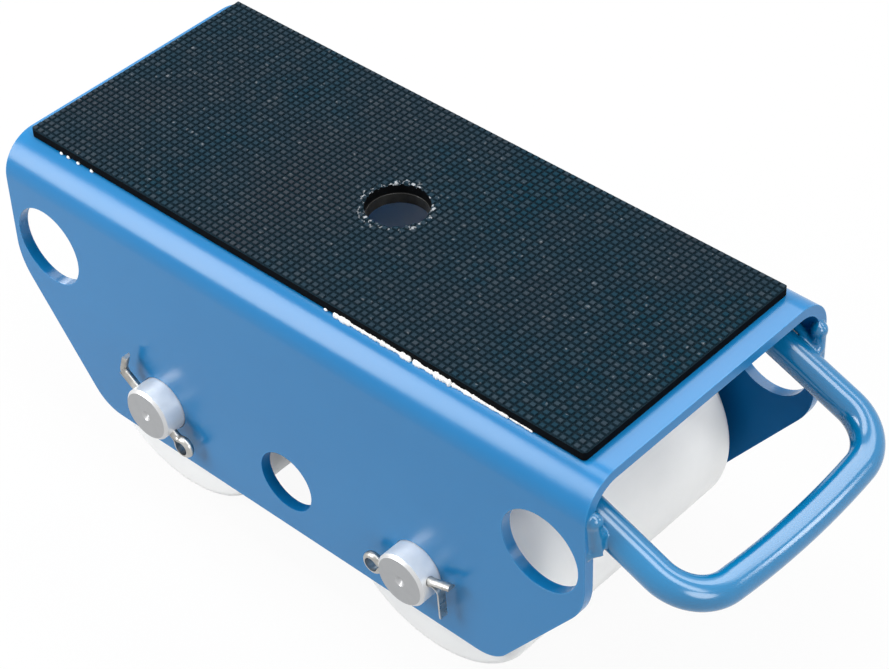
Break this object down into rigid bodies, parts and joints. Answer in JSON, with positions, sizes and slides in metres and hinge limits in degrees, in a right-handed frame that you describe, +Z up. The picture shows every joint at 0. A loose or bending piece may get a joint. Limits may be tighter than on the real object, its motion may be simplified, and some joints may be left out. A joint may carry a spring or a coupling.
{
  "type": "machine skate",
  "caption": "Low machine skate: a folded steel channel on wide plastic rollers, with a rubber deck pad, cross holes and a bent bar handle, for moving heavy loads.",
  "frame": {"origin": "on the floor under the middle of the skate's outline, handle included", "axes": "+X along the length towards the handle, +Z up from the floor, +Y along the axles"},
  "size_m": [0.2962, 0.135, 0.1235],
  "materials": {
    "blue_paint": "gloss sky-blue enamel",
    "pad_rubber": "black with a fine moulded grid",
    "roller_plastic": "smooth off-white",
    "bright_steel": "turned bright steel",
    "pin_steel": "zinc-plated wire",
    "bearing_steel": "ground bearing steel",
    "cage_plastic": "plain moulded cage"
  },
  "bodies": {
    "chassis": {"chassis_channel": "blue_paint", "deck_pad": "pad_rubber", "pull_handle": "blue_paint", "handle_weld_near": "blue_paint", "handle_weld_far": "blue_paint", "front_axle": "bright_steel", "front_spacer_tube": "bright_steel", "front_split_pin_near": "pin_steel", "front_side_washer_near": "bright_steel", "front_inner_race_near": "bearing_steel", "front_split_pin_far": "pin_steel", "front_side_washer_far": "bright_steel", "front_inner_race_far": "bearing_steel", "rear_axle": "bright_steel", "rear_spacer_tube": "bright_steel", "rear_split_pin_near": "pin_steel", "rear_side_washer_near": "bright_steel", "rear_inner_race_near": "bearing_steel", "rear_split_pin_far": "pin_steel", "rear_side_washer_far": "bright_steel", "rear_inner_race_far": "bearing_steel"},
    "front_roller": {"front_roller": "roller_plastic", "front_outer_race_near": "bearing_steel", "front_shields_near": "bright_steel", "front_outer_race_far": "bearing_steel", "front_shields_far": "bright_steel"},
    "front_bearing_cages": {"front_balls_near": "bearing_steel", "front_ball_cage_near": "cage_plastic", "front_balls_far": "bearing_steel", "front_ball_cage_far": "cage_plastic"},
    "rear_roller": {"rear_roller": "roller_plastic", "rear_outer_race_near": "bearing_steel", "rear_shields_near": "bright_steel", "rear_outer_race_far": "bearing_steel", "rear_shields_far": "bright_steel"},
    "rear_bearing_cages": {"rear_balls_near": "bearing_steel", "rear_ball_cage_near": "cage_plastic", "rear_balls_far": "bearing_steel", "rear_ball_cage_far": "cage_plastic"}
  },
  "joints": [
    {"name": "front_roller_spin", "type": "hinge", "parent": "chassis", "child": "front_roller", "pos_m": [0.0389, 0, 0.0425], "axis": [0, 1, 0], "continuous": true},
    {"name": "front_cage_spin", "type": "hinge", "parent": "chassis", "child": "front_bearing_cages", "pos_m": [0.0389, 0, 0.0425], "axis": [0, 1, 0], "continuous": true},
    {"name": "rear_roller_spin", "type": "hinge", "parent": "chassis", "child": "rear_roller", "pos_m": [-0.0791, 0, 0.0425], "axis": [0, 1, 0], "continuous": true},
    {"name": "rear_cage_spin", "type": "hinge", "parent": "chassis", "child": "rear_bearing_cages", "pos_m": [-0.0791, 0, 0.0425], "axis": [0, 1, 0], "continuous": true}
  ],
  "couplings": [
    {"joint": "front_cage_spin", "follows": "front_roller_spin", "ratio": 0.6179},
    {"joint": "rear_cage_spin", "follows": "rear_roller_spin", "ratio": 0.6179}
  ]
}
